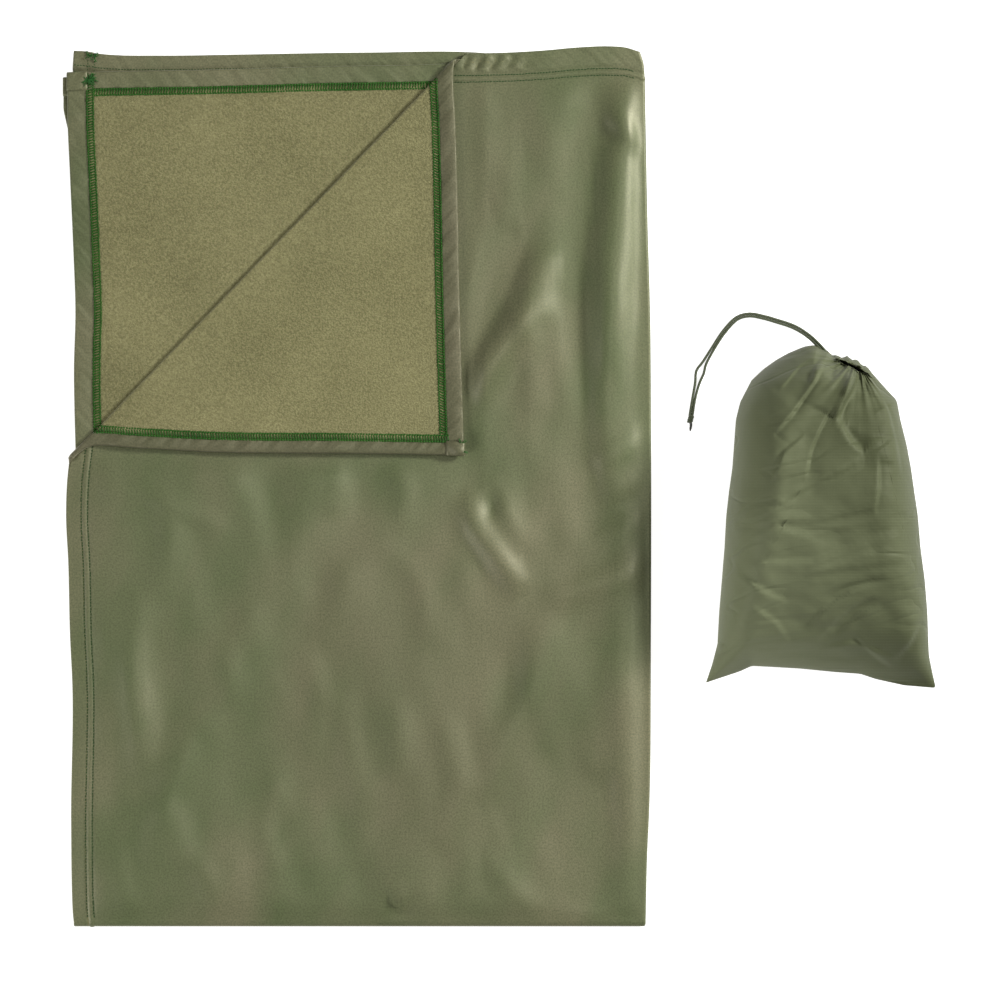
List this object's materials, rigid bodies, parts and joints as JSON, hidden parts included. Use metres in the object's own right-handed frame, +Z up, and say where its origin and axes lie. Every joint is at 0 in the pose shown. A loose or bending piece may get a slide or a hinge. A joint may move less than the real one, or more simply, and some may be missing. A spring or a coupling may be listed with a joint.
{
  "type": "camp blanket",
  "caption": "Fleece-lined camp blanket folded in four with one corner turned back, beside its filled drawstring stuff sack.",
  "frame": {"origin": "middle of the folded blanket's underside, on the surface it lies on", "axes": "+Z up from the surface, +Y from the bottom fold towards the open end, +X towards the right-hand fold and the stuff sack"},
  "size_m": [0.9911, 0.9945, 0.1141],
  "materials": {
    "shell_cloth": "smooth satin shell cloth, olive green, waterproof face",
    "fleece_lining": "short-pile olive fleece bonded to the shell",
    "green_overlock": "bright green overlock thread over the raw edge",
    "dark_stitching": "dark green twin-needle thread",
    "sack_nylon": "thin olive nylon with a slight shine",
    "cord_braid": "round braided olive cord",
    "melted_cord_end": "melted and hardened cord ends, nearly black",
    "packed_fleece": "rolled fleece blanket inside the sack"
  },
  "bodies": {
    "lower_half": {"lower_shell": "shell_cloth", "lower_lining": "fleece_lining", "third_layer_end_hem": "shell_cloth", "third_layer_end_overlock": "green_overlock", "third_layer_side_hem": "shell_cloth", "third_layer_side_overlock": "green_overlock", "floor_layer_end_hem": "shell_cloth", "floor_layer_end_overlock": "green_overlock", "floor_layer_side_hem": "shell_cloth", "floor_layer_side_overlock": "green_overlock", "bottom_fold_shell": "shell_cloth", "bottom_fold_lining": "fleece_lining", "inner_fold_lining": "fleece_lining", "inner_fold_shell": "shell_cloth"},
    "upper_half": {"upper_shell": "shell_cloth", "upper_lining": "fleece_lining", "second_layer_end_hem": "shell_cloth", "second_layer_end_overlock": "green_overlock", "second_layer_side_hem": "shell_cloth", "second_layer_side_overlock": "green_overlock", "top_layer_end_hem": "shell_cloth", "top_layer_end_overlock": "green_overlock", "top_layer_side_hem": "shell_cloth", "top_layer_side_overlock": "green_overlock", "top_layer_end_stitching": "dark_stitching", "top_layer_side_stitching": "dark_stitching", "corner_fold_lining": "fleece_lining", "corner_fold_shell": "shell_cloth"},
    "corner_flap": {"flap_shell": "shell_cloth", "flap_lining": "fleece_lining", "flap_end_hem": "shell_cloth", "flap_end_overlock": "green_overlock", "flap_side_hem": "shell_cloth", "flap_side_overlock": "green_overlock", "flap_side_stitching": "dark_stitching"},
    "stuff_sack": {"sack_body": "sack_nylon", "sack_channel": "sack_nylon", "packed_bundle": "packed_fleece"},
    "drawcord": {"drawcord_strand_a": "cord_braid", "drawcord_strand_b": "cord_braid", "drawcord_knot": "cord_braid", "drawcord_tip": "melted_cord_end"}
  },
  "joints": [
    {"name": "bottom_fold", "type": "hinge", "parent": "lower_half", "child": "upper_half", "pos_m": [0, -0.4998, 0.0078], "axis": [1, 0, 0], "range_deg": [0, 180], "deforming": ["bottom_fold_shell", "bottom_fold_lining", "inner_fold_lining", "inner_fold_shell"]},
    {"name": "corner_fold", "type": "hinge", "parent": "upper_half", "child": "corner_flap", "pos_m": [-0.10545, 0.264, 0.01185], "axis": [-0.6952, -0.7188, 0], "range_deg": [0, 180], "deforming": ["corner_fold_lining", "corner_fold_shell"]},
    {"name": "sack_set_aside", "type": "slide", "parent": "lower_half", "child": "stuff_sack", "axis": [1, 0, 0], "range_m": [0, 0.3]},
    {"name": "drawcord_pull", "type": "slide", "parent": "stuff_sack", "child": "drawcord", "axis": [-0.66, 0.7513, 0], "range_m": [0, 0.02]}
  ]
}
